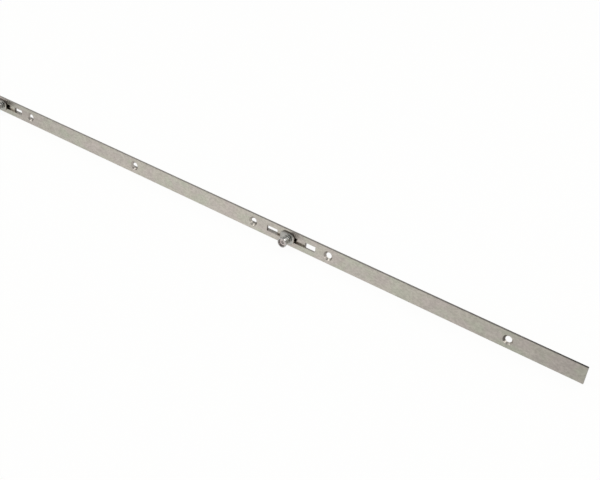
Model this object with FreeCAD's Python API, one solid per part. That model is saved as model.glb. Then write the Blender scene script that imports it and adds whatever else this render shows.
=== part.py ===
import FreeCAD, Part
import math
import os

V = FreeCAD.Vector

# The lock lies on its long edge. X runs along the faceplate, with the long upper arm towards +X.
# Y runs from the faceplate into the door, so the cams stand out towards -Y. Z is the door's thickness.
# The origin is the spindle axis at the middle of the case's thickness. All lengths are in millimetres.

# Faceplate
PLATE_WIDTH = 16.0
PLATE_THICKNESS = 2.0
BACKSET = 35.0
UPPER_REACH = 890.0
LOWER_REACH = 330.0
PLATE_EDGE_RADIUS = 0.25

# Cam slots in the faceplate, each with a screw hole at either side of it
SLOT_LENGTH = 53.8
SLOT_WIDTH = 5.7
FIRST_SLOT_X = 223.1
SLOT_PITCH = 387.5
LOWER_SLOT_INSET = 115.0
SCREW_ABOVE_SLOT = 40.8
SCREW_BELOW_SLOT = 43.1
END_SCREW_INSET = 65.0

# Countersunk holes for the door screws
SCREW_HOLE_RADIUS = 2.9
SCREW_SINK_RADIUS = 4.6
SCREW_SINK_DEPTH = 1.5

# Drive rods, which run behind the faceplate
STROKE = 16.0
CAM_PITCH = 389.4
ROD_REST_SHIFT = -3.4
ROD_WIDTH = 11.4
ROD_THICKNESS = 2.65
ROD_GAP = 0.15
ROD_SLOT_WIDTH = 5.7
ROD_SLOT_SPARE = 5.5
ROD_LAND_BELOW_CAM = 13.2
ROD_LAND_ABOVE_CAM = 17.9
UPPER_ROD_START = 67.0
LOWER_ROD_START = -93.0

# Guide shoes, the oval plates that slide on the face and hold the rods up to it
SHOE_LENGTH = 15.0
SHOE_WIDTH = 11.1
SHOE_THICKNESS = 1.45
SHOE_GAP = 0.15
SHOE_CORNER_RADIUS = 4.4
SHOE_EDGE_BEVEL = 0.3
SHOE_BOSS_RADIUS = 2.65

# Eccentric cam pins and their rollers. Heights are above the faceplate's front.
PIN_SHANK_RADIUS = 1.7
PIN_NECK_RADIUS = 3.0
PIN_NECK_THICKNESS = 0.9
ECCENTRICITY = 1.8
PIN_JOURNAL_RADIUS = 2.3
PIN_COLLAR_RADIUS = 4.0
PIN_COLLAR_THICKNESS = 1.1
PIN_HEAD_RADIUS = 4.65
PIN_HEAD_RIM = 1.45
PIN_HEAD_UNDERCUT = 0.8
PIN_HEAD_FOOT_RADIUS = 4.05
PIN_HEAD_EDGE = 0.35
PIN_HEIGHT = 11.7
PIN_TAIL_RADIUS = 2.8
PIN_TAIL_THICKNESS = 1.0
WASHER_RADIUS = 4.0
WASHER_THICKNESS = 0.5
HEAD_RECESS_RADIUS = 3.7
HEAD_RECESS_DEPTH = 1.5
HEX_ACROSS_FLATS = 2.5
HEX_DEPTH = 1.0
ROLLER_RADIUS = 3.8
ROLLER_END_GAP = 0.2
ROLLER_GROOVE_DEPTH = 0.55
ROLLER_GROOVE_WIDTH = 0.55
ROLLER_LOW_RING_WIDTH = 1.45
ROLLER_LIP_WIDTH = 0.8
ROLLER_EDGE = 0.2

# Running clearances, taken on the radius or on one side
SHAFT_CLEARANCE = 0.06
SLIDE_CLEARANCE = 0.1
SEAT_CLEARANCE = 0.02

# Rod guides, clips joined to the faceplate's back beyond both ends of the case
GUIDE_LENGTH = 12.0
GUIDE_WALL = 1.2
GUIDE_CLEARANCE = 0.2
GUIDE_FROM_CASE = 30.0

# Gear case
CASE_THICKNESS = 15.0
CASE_WALL = 1.5
CASE_TOP_X = 84.0
CASE_BOTTOM_X = -112.0
CASE_REAR_Y = 17.0
CASE_NOTCH_CLEARANCE = 0.9
CASE_CORNER_RADIUS = 4.0
POST_RADIUS = 3.0
POST_INSET = 6.5
FRONT_POST_Y = -18.5
RIVET_RADIUS = 1.5
RIVET_HEAD_RADIUS = 2.6
RIVET_HEAD_DEPTH = 1.1

# Blocks that take the case screws behind the faceplate
BLOCK_LENGTH = 9.0
BLOCK_DEPTH = 7.6
UPPER_BLOCK_X = 18.0
LOWER_BLOCK_X = -24.0
CASE_SCREW_RADIUS = 2.0
CASE_SCREW_HEAD_RADIUS = 3.7
CASE_SCREW_HEAD_DEPTH = 1.6
CASE_SCREW_LENGTH = 8.5
CROSS_SLOT_WIDTH = 1.0
CROSS_SLOT_LENGTH = 4.4
CROSS_SLOT_DEPTH = 0.9

# Follower with its pinion, and the rack
SPINDLE_SQUARE = 8.1
FOLLOWER_RADIUS = 9.0
PINION_TEETH = 12
TEETH_ON_SECTOR = 7
TOOTH_PITCH = 6.0
PRESSURE_ANGLE = 20.0
PINION_ADDENDUM = 1.5
RACK_ADDENDUM = 1.25
TOOTH_TIP_GAP = 0.3
TOOTH_BACKLASH = 0.22
RACK_TEETH = 10
FOLLOWER_COLLAR_RADIUS = 11.0
FOLLOWER_COLLAR_THICKNESS = 1.4

# Rack slide, a flat plate beside the case's tray
SLIDE_THICKNESS = 1.8
SLIDE_BAR_DEPTH = 6.0
RACK_BODY_LENGTH = 62.0
HOOK_LENGTH = 6.0
HOOK_FROM_ROD_END = 5.0
SLIDE_END = 4.0

# Bushes for the bolts of the handle
HANDLE_BOLT_SPACING = 43.0
HANDLE_BOLT_HOLE_RADIUS = 3.25
HANDLE_BUSH_WALL = 1.25

# Opening for the profile cylinder
CYLINDER_X = -70.0
CYLINDER_RADIUS = 8.75
CYLINDER_STEM_WIDTH = 10.6
CYLINDER_TOTAL = 33.5
CYLINDER_CAM_REACH = 15.5
CYLINDER_SCREW_RADIUS = 2.6

# Roller latch
BOLT_THICKNESS = 7.8
LATCH_X = 38.0
LATCH_WIDTH = 16.0
LATCH_BODY_DEPTH = 17.0
LATCH_NOSE = 1.0
LATCH_CHEEK = 2.2
LATCH_ROLLER_RADIUS = 3.9
LATCH_ROLLER_OUT = 2.4
LATCH_PIN_RADIUS = 1.25
LATCH_TAIL_RADIUS = 2.4
LATCH_TRAVEL = 6.0
LATCH_GUIDE_THICKNESS = 2.0
LATCH_CLIP_RADIUS = 4.2
LATCH_CLIP_THICKNESS = 0.8
LATCH_TAIL_END = 2.6
OPENING_CLEARANCE = 0.4
SPRING_WIRE_RADIUS = 0.4
SPRING_RADIUS = 3.3
SPRING_TURNS = 7
SPRING_LENGTH = 16.5

# Deadbolt
DEADBOLT_X = -47.0
DEADBOLT_WIDTH = 22.0
DEADBOLT_THROW = 20.0
DEADBOLT_INSET = 0.3
DEADBOLT_REAR_Y = 13.0
DEADBOLT_POST_RADIUS = 2.5
DEADBOLT_POST_X = -41.5
DEADBOLT_POST_Y = -11.7
DEADBOLT_NOTCH_WIDTH = 9.0
DEADBOLT_EDGE = 0.6
BRAKE_STRIP = 0.5
BRAKE_RISE = 1.6
BRAKE_SPAN = 20.0
BRAKE_Y = 3.5

# Worked-out planes and places
FRONT_Y = -BACKSET
PLATE_BACK_Y = FRONT_Y + PLATE_THICKNESS
ROD_FRONT_Y = PLATE_BACK_Y + ROD_GAP
ROD_BACK_Y = ROD_FRONT_Y + ROD_THICKNESS
HALF_PLATE = PLATE_WIDTH / 2
HALF_CASE = CASE_THICKNESS / 2
INNER_HALF = HALF_CASE - CASE_WALL
HALF_BOLT = BOLT_THICKNESS / 2
CASE_NOTCH_Y = ROD_BACK_Y + SLIDE_CLEARANCE + SLIDE_BAR_DEPTH + CASE_NOTCH_CLEARANCE
SLIDE_LOW_Z = -INNER_HALF + SLIDE_CLEARANCE
SLIDE_TOP_Z = SLIDE_LOW_Z + SLIDE_THICKNESS
LOWER_SLOT_X = LOWER_SLOT_INSET - LOWER_REACH
SLOT_CENTRES = [FIRST_SLOT_X, FIRST_SLOT_X + SLOT_PITCH, LOWER_SLOT_X]
LAST_PIVOT_X = FIRST_SLOT_X + SLOT_PITCH + ROD_REST_SHIFT
CAM_PIVOTS = [LAST_PIVOT_X - CAM_PITCH, LAST_PIVOT_X, LOWER_SLOT_X + ROD_REST_SHIFT]
MIDDLE_SCREW_X = FIRST_SLOT_X + SLOT_PITCH / 2
UPPER_ROD_END = CAM_PIVOTS[1] + ROD_LAND_ABOVE_CAM
LOWER_ROD_END = CAM_PIVOTS[2] - ROD_LAND_BELOW_CAM
PITCH_RADIUS = PINION_TEETH * TOOTH_PITCH / (2 * math.pi)
RACK_PITCH_Y = -PITCH_RADIUS
ROD_SLOT_REACH = STROKE + SCREW_HOLE_RADIUS + ROD_SLOT_SPARE
PIN_NECK_LOW = SHOE_GAP + SHOE_THICKNESS + SEAT_CLEARANCE
PIN_COLLAR_LOW = PIN_NECK_LOW + PIN_NECK_THICKNESS
PIN_COLLAR_HIGH = PIN_COLLAR_LOW + PIN_COLLAR_THICKNESS
PIN_HEAD_LOW = PIN_HEIGHT - PIN_HEAD_RIM - PIN_HEAD_UNDERCUT
ROLLER_LOW = PIN_COLLAR_HIGH + ROLLER_END_GAP
ROLLER_HIGH = PIN_HEAD_LOW - ROLLER_END_GAP


def block(x0, x1, y0, y1, z0, z1):
    """A box between two corners."""
    return Part.makeBox(x1 - x0, y1 - y0, z1 - z0, V(x0, y0, z0))


def round_y(radius, y0, y1, x=0.0, z=0.0):
    """A cylinder along Y."""
    return Part.makeCylinder(radius, y1 - y0, V(x, y0, z), V(0, 1, 0))


def round_z(radius, z0, z1, x=0.0, y=0.0):
    """A cylinder along Z."""
    return Part.makeCylinder(radius, z1 - z0, V(x, y, z0), V(0, 0, 1))


def round_x(radius, x0, x1, y=0.0, z=0.0):
    """A cylinder along X."""
    return Part.makeCylinder(radius, x1 - x0, V(x0, y, z), V(1, 0, 0))


def cone_y(radius0, radius1, y0, y1, x=0.0, z=0.0):
    """A cone along Y, from one radius to the other."""
    return Part.makeCone(radius0, radius1, y1 - y0, V(x, y0, z), V(0, 1, 0))


def cone_z(radius0, radius1, z0, z1, x=0.0, y=0.0):
    """A cone along Z, from one radius to the other."""
    return Part.makeCone(radius0, radius1, z1 - z0, V(x, y, z0), V(0, 0, 1))


def plate_from(points, z0, z1):
    """A flat plate with straight sides through the points, between two heights."""
    corners = [V(x, y, z0) for x, y in points]
    wire = Part.makePolygon(corners + corners[:1])
    return Part.Face(wire).extrude(V(0, 0, z1 - z0))


def oval_y(length, width, corner, y0, y1, x=0.0):
    """A rounded rectangle in the plane of the face, extruded along Y."""
    body = block(x - length / 2, x + length / 2, y0, y1, -width / 2, width / 2)
    upright = [e for e in body.Edges if e.BoundBox.XLength < 1e-6 and e.BoundBox.ZLength < 1e-6]
    return body.makeFillet(min(corner, 0.49 * width, 0.49 * length), upright)


def edges_along(shape, axis, test):
    """Straight edges of a shape along one axis whose middle passes the test."""
    found = []
    for edge in shape.Edges:
        if len(edge.Vertexes) != 2 or not isinstance(edge.Curve, Part.Line):
            continue
        step = edge.Vertexes[1].Point - edge.Vertexes[0].Point
        if abs(step.dot(axis)) > 0.999 * step.Length and test(edge.CenterOfMass):
            found.append(edge)
    return found


def cut_all(shape, tools):
    """The shape with every tool cut away."""
    for tool in tools:
        shape = shape.cut(tool)
    return shape


def fuse_all(shapes):
    """One solid from touching shapes."""
    return shapes[0].multiFuse(shapes[1:]).removeSplitter()


def screw_holes_x():
    """Places of the door screws along the faceplate."""
    below = [x - SCREW_BELOW_SLOT for x in SLOT_CENTRES]
    above = [x + SCREW_ABOVE_SLOT for x in SLOT_CENTRES]
    return below + above + [MIDDLE_SCREW_X, UPPER_REACH - END_SCREW_INSET]


def sunk_hole(x, radius, sink_radius, sink_depth):
    """A countersunk hole through the faceplate."""
    through = round_y(radius, FRONT_Y - 1, PLATE_BACK_Y + 1, x)
    slope = (sink_radius - radius) / sink_depth
    sink = cone_y(sink_radius + slope, radius, FRONT_Y - 1, FRONT_Y + sink_depth, x)
    return through.fuse(sink)


def faceplate():
    """The long strip with its cam slots, screw holes and bolt openings."""
    strip = block(-LOWER_REACH, UPPER_REACH, FRONT_Y, PLATE_BACK_Y, -HALF_PLATE, HALF_PLATE)
    front_edges = edges_along(strip, V(1, 0, 0), lambda c: c.y < FRONT_Y + PLATE_THICKNESS / 2)
    strip = strip.makeFillet(PLATE_EDGE_RADIUS, front_edges)
    low_y = FRONT_Y - 1
    high_y = PLATE_BACK_Y + 1
    tools = []
    for x in SLOT_CENTRES:
        tools.append(block(x - SLOT_LENGTH / 2, x + SLOT_LENGTH / 2, low_y, high_y,
                           -SLOT_WIDTH / 2, SLOT_WIDTH / 2))
    for x in screw_holes_x():
        tools.append(sunk_hole(x, SCREW_HOLE_RADIUS, SCREW_SINK_RADIUS, SCREW_SINK_DEPTH))
    for x in (UPPER_BLOCK_X, LOWER_BLOCK_X):
        tools.append(sunk_hole(x, CASE_SCREW_RADIUS + SHAFT_CLEARANCE,
                               CASE_SCREW_HEAD_RADIUS + SEAT_CLEARANCE, CASE_SCREW_HEAD_DEPTH))
    tools.append(sunk_hole(CYLINDER_X, CYLINDER_SCREW_RADIUS, SCREW_SINK_RADIUS, SCREW_SINK_DEPTH))
    for x, width in ((LATCH_X, LATCH_WIDTH), (DEADBOLT_X, DEADBOLT_WIDTH)):
        half = width / 2 + OPENING_CLEARANCE
        reach = HALF_BOLT + OPENING_CLEARANCE
        tools.append(block(x - half, x + half, low_y, high_y, -reach, reach))
    return cut_all(strip, tools)


def rod_guides():
    """Clips behind the faceplate that hold the rods against it."""
    inner = ROD_WIDTH / 2 + GUIDE_CLEARANCE
    inner_y = ROD_BACK_Y + GUIDE_CLEARANCE
    clips = []
    for x in (CASE_TOP_X + GUIDE_FROM_CASE, CASE_BOTTOM_X - GUIDE_FROM_CASE):
        low_x = x - GUIDE_LENGTH / 2
        high_x = x + GUIDE_LENGTH / 2
        outside = block(low_x, high_x, PLATE_BACK_Y, inner_y + GUIDE_WALL,
                        -inner - GUIDE_WALL, inner + GUIDE_WALL)
        back_edges = edges_along(outside, V(1, 0, 0), lambda c: c.y > inner_y)
        outside = outside.makeFillet(GUIDE_WALL, back_edges)
        hollow = block(low_x - 1, high_x + 1, PLATE_BACK_Y - 1, inner_y, -inner, inner)
        clips.append(outside.cut(hollow))
    return Part.makeCompound(clips)


def rod_bar(x0, x1, windows, pivots, hook_x):
    """A flat drive rod with slots for the door screws, bores for the pins and a notch for the hook."""
    bar = block(x0, x1, ROD_FRONT_Y, ROD_BACK_Y, -ROD_WIDTH / 2, ROD_WIDTH / 2)
    tools = []
    for low_x, high_x in windows:
        tools.append(block(low_x, high_x, ROD_FRONT_Y - 1, ROD_BACK_Y + 1,
                           -ROD_SLOT_WIDTH / 2, ROD_SLOT_WIDTH / 2))
    for x in pivots:
        tools.append(round_y(PIN_SHANK_RADIUS + SHAFT_CLEARANCE, ROD_FRONT_Y - 1, ROD_BACK_Y + 1, x))
    half_hook = HOOK_LENGTH / 2 + SLIDE_CLEARANCE
    tools.append(block(hook_x - half_hook, hook_x + half_hook, ROD_FRONT_Y - 1, ROD_BACK_Y + 1,
                       -ROD_WIDTH, SLIDE_TOP_Z + SLIDE_CLEARANCE))
    return cut_all(bar, tools)


def upper_rod():
    """The rod of the long arm, from the case to the last cam, solid around both cams."""
    low_x = max(FIRST_SLOT_X - SCREW_BELOW_SLOT - ROD_SLOT_REACH, upper_hook_x() + HOOK_LENGTH)
    last_screw_x = FIRST_SLOT_X + SLOT_PITCH - SCREW_BELOW_SLOT
    windows = [
        (low_x, CAM_PIVOTS[0] - ROD_LAND_BELOW_CAM),
        (CAM_PIVOTS[0] + ROD_LAND_ABOVE_CAM, FIRST_SLOT_X + SCREW_ABOVE_SLOT + ROD_SLOT_REACH),
        (MIDDLE_SCREW_X - ROD_SLOT_REACH, MIDDLE_SCREW_X + ROD_SLOT_REACH),
        (last_screw_x - ROD_SLOT_REACH, CAM_PIVOTS[1] - ROD_LAND_BELOW_CAM),
    ]
    return rod_bar(UPPER_ROD_START, UPPER_ROD_END, windows, CAM_PIVOTS[:2], upper_hook_x())


def lower_rod():
    """The short rod below the case, solid around its cam."""
    high_x = min(LOWER_SLOT_X + SCREW_ABOVE_SLOT + ROD_SLOT_REACH, lower_hook_x() - HOOK_LENGTH)
    windows = [(CAM_PIVOTS[2] + ROD_LAND_ABOVE_CAM, high_x)]
    return rod_bar(LOWER_ROD_END, LOWER_ROD_START, windows, CAM_PIVOTS[2:], lower_hook_x())


def upper_hook_x():
    """Place of the slide's hook in the upper rod."""
    return UPPER_ROD_START + HOOK_FROM_ROD_END


def lower_hook_x():
    """Place of the slide's hook in the lower rod."""
    return LOWER_ROD_START - HOOK_FROM_ROD_END


def guide_shoes():
    """Oval plates on the faceplate's front, each with a boss through the slot to the rod."""
    shoes = []
    top_y = FRONT_Y - SHOE_GAP - SHOE_THICKNESS
    for x in CAM_PIVOTS:
        plate = oval_y(SHOE_LENGTH, SHOE_WIDTH, SHOE_CORNER_RADIUS, top_y, FRONT_Y - SHOE_GAP, x)
        rim = [e for e in plate.Edges if abs(e.CenterOfMass.y - top_y) < 1e-6]
        plate = plate.makeChamfer(SHOE_EDGE_BEVEL, rim)
        boss = round_y(SHOE_BOSS_RADIUS, top_y + SHOE_THICKNESS / 2, ROD_FRONT_Y, x)
        bore = round_y(PIN_SHANK_RADIUS + SHAFT_CLEARANCE, top_y - 1, ROD_FRONT_Y + 1, x)
        shoes.append(plate.fuse(boss).cut(bore).removeSplitter())
    return Part.makeCompound(shoes)


def pin_washers():
    """Friction washers between the rods and the riveted tails of the pins."""
    rings = []
    low_y = ROD_BACK_Y + SEAT_CLEARANCE
    for x in CAM_PIVOTS:
        disc = round_y(WASHER_RADIUS, low_y, low_y + WASHER_THICKNESS, x)
        bore = round_y(PIN_SHANK_RADIUS + SHAFT_CLEARANCE, low_y - 1, low_y + WASHER_THICKNESS + 1, x)
        rings.append(disc.cut(bore))
    return Part.makeCompound(rings)


def hex_socket(x, across, y0, y1):
    """A hexagon along Y with two corners on the X axis."""
    reach = across / math.sqrt(3)
    corners = [V(x + reach * math.cos(k * math.pi / 3), y0, reach * math.sin(k * math.pi / 3))
               for k in range(6)]
    wire = Part.makePolygon(corners + corners[:1])
    return Part.Face(wire).extrude(V(0, y1 - y0, 0))


def cam_pin(pivot_x):
    """An eccentric pin: shank and neck on the pivot, then collar, journal and head on the roller's axis."""
    axis_x = pivot_x + ECCENTRICITY
    neck_y = FRONT_Y - PIN_NECK_LOW
    collar_y = FRONT_Y - PIN_COLLAR_LOW
    journal_y = FRONT_Y - PIN_COLLAR_HIGH
    head_y = FRONT_Y - PIN_HEAD_LOW
    top_y = FRONT_Y - PIN_HEIGHT
    tail_y = ROD_BACK_Y + WASHER_THICKNESS + 2 * SEAT_CLEARANCE
    shank = round_y(PIN_SHANK_RADIUS, neck_y, tail_y, pivot_x)
    tail = round_y(PIN_TAIL_RADIUS, tail_y, tail_y + PIN_TAIL_THICKNESS, pivot_x)
    neck = round_y(PIN_NECK_RADIUS, collar_y, neck_y, pivot_x)
    collar = round_y(PIN_COLLAR_RADIUS, journal_y, collar_y, axis_x)
    journal = round_y(PIN_JOURNAL_RADIUS, head_y, journal_y, axis_x)
    rim_y = top_y + PIN_HEAD_RIM
    edge_y = top_y + PIN_HEAD_EDGE
    foot = cone_y(PIN_HEAD_RADIUS, PIN_HEAD_FOOT_RADIUS, rim_y, head_y, axis_x)
    rim = round_y(PIN_HEAD_RADIUS, edge_y, rim_y, axis_x)
    crown = cone_y(PIN_HEAD_RADIUS - PIN_HEAD_EDGE, PIN_HEAD_RADIUS, top_y, edge_y, axis_x)
    body = fuse_all([shank, tail, neck, collar, journal, foot, rim, crown])
    recess_y = top_y + HEAD_RECESS_DEPTH
    recess = round_y(HEAD_RECESS_RADIUS, top_y - 1, recess_y, axis_x)
    socket = hex_socket(axis_x, HEX_ACROSS_FLATS, recess_y - 1, recess_y + HEX_DEPTH)
    return cut_all(body, [recess, socket])


def cam_roller(pivot_x):
    """A turned sleeve with two rings, a groove and a thin lip, free to turn on the pin's journal."""
    axis_x = pivot_x + ECCENTRICITY
    top = ROLLER_HIGH
    ring_high = ROLLER_LOW + ROLLER_LIP_WIDTH + ROLLER_LOW_RING_WIDTH
    ring_low = ROLLER_LOW + ROLLER_LIP_WIDTH
    groove_high = ring_high + ROLLER_GROOVE_WIDTH
    thin = ROLLER_RADIUS - ROLLER_GROOVE_DEPTH
    soft = ROLLER_RADIUS - ROLLER_EDGE
    bore = PIN_JOURNAL_RADIUS + SHAFT_CLEARANCE
    outline = [
        (bore, ROLLER_LOW), (thin, ROLLER_LOW), (thin, ring_low), (soft, ring_low),
        (ROLLER_RADIUS, ring_low + ROLLER_EDGE), (ROLLER_RADIUS, ring_high - ROLLER_EDGE),
        (soft, ring_high), (thin, ring_high), (thin, groove_high), (soft, groove_high),
        (ROLLER_RADIUS, groove_high + ROLLER_EDGE), (ROLLER_RADIUS, top - ROLLER_EDGE), (soft, top),
        (bore, top),
    ]
    corners = [V(axis_x + r, FRONT_Y - h, 0) for r, h in outline]
    face = Part.Face(Part.makePolygon(corners + corners[:1]))
    return face.revolve(V(axis_x, 0, 0), V(0, 1, 0), 360)


def cylinder_tool(z0, z1):
    """The opening of a profile cylinder: a round head with a straight stem towards -X."""
    head = round_z(CYLINDER_RADIUS, z0, z1, CYLINDER_X, 0)
    stem_end = CYLINDER_X + CYLINDER_RADIUS - CYLINDER_TOTAL
    half = CYLINDER_STEM_WIDTH / 2
    straight = block(stem_end + half, CYLINDER_X, -half, half, z0, z1)
    foot = round_z(half, z0, z1, stem_end + half, 0)
    return head.fuse([straight, foot])


def post_places():
    """Places of the posts that join the tray and the cover."""
    top_x = CASE_TOP_X - POST_INSET
    bottom_x = CASE_BOTTOM_X + POST_INSET
    rear_y = CASE_REAR_Y - POST_INSET
    return [(top_x, rear_y), (bottom_x, rear_y), (top_x, FRONT_POST_Y), (bottom_x, FRONT_POST_Y)]


def handle_bolt_places():
    """Places of the bolts of the handle, level with the spindle."""
    return [(-HANDLE_BOLT_SPACING / 2, 0.0), (HANDLE_BOLT_SPACING / 2, 0.0)]


def plate_holes(z0, z1):
    """Everything that goes through both side plates of the case."""
    tools = [round_z(FOLLOWER_RADIUS + SHAFT_CLEARANCE, z0, z1), cylinder_tool(z0, z1)]
    for x, y in handle_bolt_places():
        tools.append(round_z(HANDLE_BOLT_HOLE_RADIUS, z0, z1, x, y))
    for x, y in post_places():
        tools.append(round_z(RIVET_RADIUS + SEAT_CLEARANCE, z0, z1, x, y))
    return tools


def rivet_sinks(outer_z, inner_z):
    """Countersinks for the rivets in one side plate."""
    wide = RIVET_HEAD_RADIUS + SEAT_CLEARANCE
    narrow = RIVET_RADIUS + SEAT_CLEARANCE
    low, high = min(outer_z, inner_z), max(outer_z, inner_z)
    first, second = (wide, narrow) if outer_z < inner_z else (narrow, wide)
    return [cone_z(first, second, low, high, x, y) for x, y in post_places()]


def rear_corners(shape):
    """The two upright edges at the case's rear."""
    return edges_along(shape, V(0, 0, 1), lambda c: c.y > CASE_REAR_Y - 1e-3)


def case_tray():
    """The case's lower side plate with its rear and end walls."""
    outside = block(CASE_BOTTOM_X, CASE_TOP_X, PLATE_BACK_Y, CASE_REAR_Y, -HALF_CASE, INNER_HALF)
    outside = outside.makeFillet(CASE_CORNER_RADIUS, rear_corners(outside))
    inside = block(CASE_BOTTOM_X + CASE_WALL, CASE_TOP_X - CASE_WALL, PLATE_BACK_Y - 1,
                   CASE_REAR_Y - CASE_WALL, -INNER_HALF, INNER_HALF + 1)
    inner_radius = CASE_CORNER_RADIUS - CASE_WALL
    if inner_radius > 0:
        corners = edges_along(inside, V(0, 0, 1), lambda c: c.y > CASE_REAR_Y - 2 * CASE_WALL)
        inside = inside.makeFillet(inner_radius, corners)
    notch = block(CASE_BOTTOM_X - 1, CASE_TOP_X + 1, PLATE_BACK_Y - 1, CASE_NOTCH_Y,
                  -INNER_HALF, INNER_HALF + 1)
    tools = [inside, notch] + plate_holes(-HALF_CASE - 1, -INNER_HALF + 1)
    tools += rivet_sinks(-HALF_CASE, -HALF_CASE + RIVET_HEAD_DEPTH)
    return cut_all(outside, tools)


def case_cover():
    """The case's upper side plate."""
    plate = block(CASE_BOTTOM_X, CASE_TOP_X, PLATE_BACK_Y, CASE_REAR_Y, INNER_HALF, HALF_CASE)
    plate = plate.makeFillet(CASE_CORNER_RADIUS, rear_corners(plate))
    tools = plate_holes(INNER_HALF - 1, HALF_CASE + 1)
    tools += rivet_sinks(HALF_CASE, HALF_CASE - RIVET_HEAD_DEPTH)
    return cut_all(plate, tools)


def case_posts():
    """Tubes that keep the two side plates apart."""
    tubes = []
    for x, y in post_places():
        tube = round_z(POST_RADIUS, -INNER_HALF, INNER_HALF, x, y)
        tubes.append(tube.cut(round_z(RIVET_RADIUS + SEAT_CLEARANCE, -HALF_CASE, HALF_CASE, x, y)))
    return Part.makeCompound(tubes)


def case_rivets():
    """Flush rivets through the side plates and the posts."""
    rivets = []
    for x, y in post_places():
        shank = round_z(RIVET_RADIUS, -HALF_CASE, HALF_CASE, x, y)
        low = cone_z(RIVET_HEAD_RADIUS, RIVET_RADIUS, -HALF_CASE, -HALF_CASE + RIVET_HEAD_DEPTH, x, y)
        high = cone_z(RIVET_RADIUS, RIVET_HEAD_RADIUS, HALF_CASE - RIVET_HEAD_DEPTH, HALF_CASE, x, y)
        rivets.append(fuse_all([shank, low, high]))
    return Part.makeCompound(rivets)


def mounting_blocks():
    """Threaded blocks under the cover that the case screws pull against the faceplate."""
    blocks = []
    low_z = SLIDE_TOP_Z + 2 * SLIDE_CLEARANCE
    for x in (UPPER_BLOCK_X, LOWER_BLOCK_X):
        body = block(x - BLOCK_LENGTH / 2, x + BLOCK_LENGTH / 2, PLATE_BACK_Y, PLATE_BACK_Y + BLOCK_DEPTH,
                     low_z, INNER_HALF)
        bore = round_y(CASE_SCREW_RADIUS + SEAT_CLEARANCE, PLATE_BACK_Y - 1,
                       PLATE_BACK_Y + BLOCK_DEPTH + 1, x)
        blocks.append(body.cut(bore))
    return Part.makeCompound(blocks)


def case_screws():
    """Countersunk screws with a cross slot, from the faceplate's front into the blocks."""
    screws = []
    for x in (UPPER_BLOCK_X, LOWER_BLOCK_X):
        shank = round_y(CASE_SCREW_RADIUS, FRONT_Y, FRONT_Y + CASE_SCREW_LENGTH, x)
        head = cone_y(CASE_SCREW_HEAD_RADIUS, CASE_SCREW_RADIUS, FRONT_Y, FRONT_Y + CASE_SCREW_HEAD_DEPTH,
                      x)
        half = CROSS_SLOT_LENGTH / 2
        thin = CROSS_SLOT_WIDTH / 2
        depth = FRONT_Y + CROSS_SLOT_DEPTH
        along = block(x - half, x + half, FRONT_Y - 1, depth, -thin, thin)
        across = block(x - thin, x + thin, FRONT_Y - 1, depth, -half, half)
        screws.append(cut_all(fuse_all([shank, head]), [along, across]))
    return Part.makeCompound(screws)


def handle_bushes():
    """Tubes between the side plates for the handle's bolts."""
    tubes = []
    for x, y in handle_bolt_places():
        tube = round_z(HANDLE_BOLT_HOLE_RADIUS + HANDLE_BUSH_WALL, -INNER_HALF, INNER_HALF, x, y)
        tubes.append(tube.cut(round_z(HANDLE_BOLT_HOLE_RADIUS, -HALF_CASE, HALF_CASE, x, y)))
    return Part.makeCompound(tubes)


def involute_point(base_radius, radius, start_angle, side):
    """A point of the tooth's flank at a radius, with the flank starting at an angle on the base."""
    grow = math.sqrt(max((radius / base_radius) ** 2 - 1, 0.0))
    turn = start_angle + side * (grow - math.atan(grow))
    return radius * math.cos(turn), radius * math.sin(turn)


def pinion_tooth(middle_angle, z0, z1):
    """One tooth of the pinion with involute flanks, about an angle from the X axis."""
    pressure = math.radians(PRESSURE_ANGLE)
    base = PITCH_RADIUS * math.cos(pressure)
    root = PITCH_RADIUS - RACK_ADDENDUM - TOOTH_TIP_GAP
    tip = PITCH_RADIUS + PINION_ADDENDUM
    half_at_pitch = (TOOTH_PITCH / 2 - TOOTH_BACKLASH) / 2 / PITCH_RADIUS
    half_at_base = half_at_pitch + math.tan(pressure) - pressure
    start = max(base, root)
    radii = [start + (tip - start) * k / 6 for k in range(7)]
    rising = [involute_point(base, r, middle_angle - half_at_base, 1) for r in radii]
    falling = [involute_point(base, r, middle_angle + half_at_base, -1) for r in reversed(radii)]
    inner = FOLLOWER_RADIUS - 1
    first_angle = math.atan2(rising[0][1], rising[0][0])
    last_angle = math.atan2(falling[-1][1], falling[-1][0])
    foot = [(inner * math.cos(first_angle), inner * math.sin(first_angle))]
    heel = [(inner * math.cos(last_angle), inner * math.sin(last_angle))]
    return plate_from(foot + rising + falling + heel, z0, z1)


def follower():
    """The hub with the spindle square, a collar under the cover and the pinion's teeth."""
    hub = round_z(FOLLOWER_RADIUS, -HALF_CASE, HALF_CASE)
    root = PITCH_RADIUS - RACK_ADDENDUM - TOOTH_TIP_GAP
    flange = round_z(root, SLIDE_LOW_Z, SLIDE_TOP_Z)
    collar_top = INNER_HALF - SLIDE_CLEARANCE
    collar = round_z(FOLLOWER_COLLAR_RADIUS, collar_top - FOLLOWER_COLLAR_THICKNESS, collar_top)
    parts = [hub, flange, collar]
    step = 2 * math.pi / PINION_TEETH
    for k in range(TEETH_ON_SECTOR):
        angle = -math.pi / 2 + (k - (TEETH_ON_SECTOR - 1) / 2) * step
        parts.append(pinion_tooth(angle, SLIDE_LOW_Z, SLIDE_TOP_Z))
    half = SPINDLE_SQUARE / 2
    square = block(-half, half, -half, half, -HALF_CASE - 1, HALF_CASE + 1)
    return fuse_all(parts).cut(square)


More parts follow.
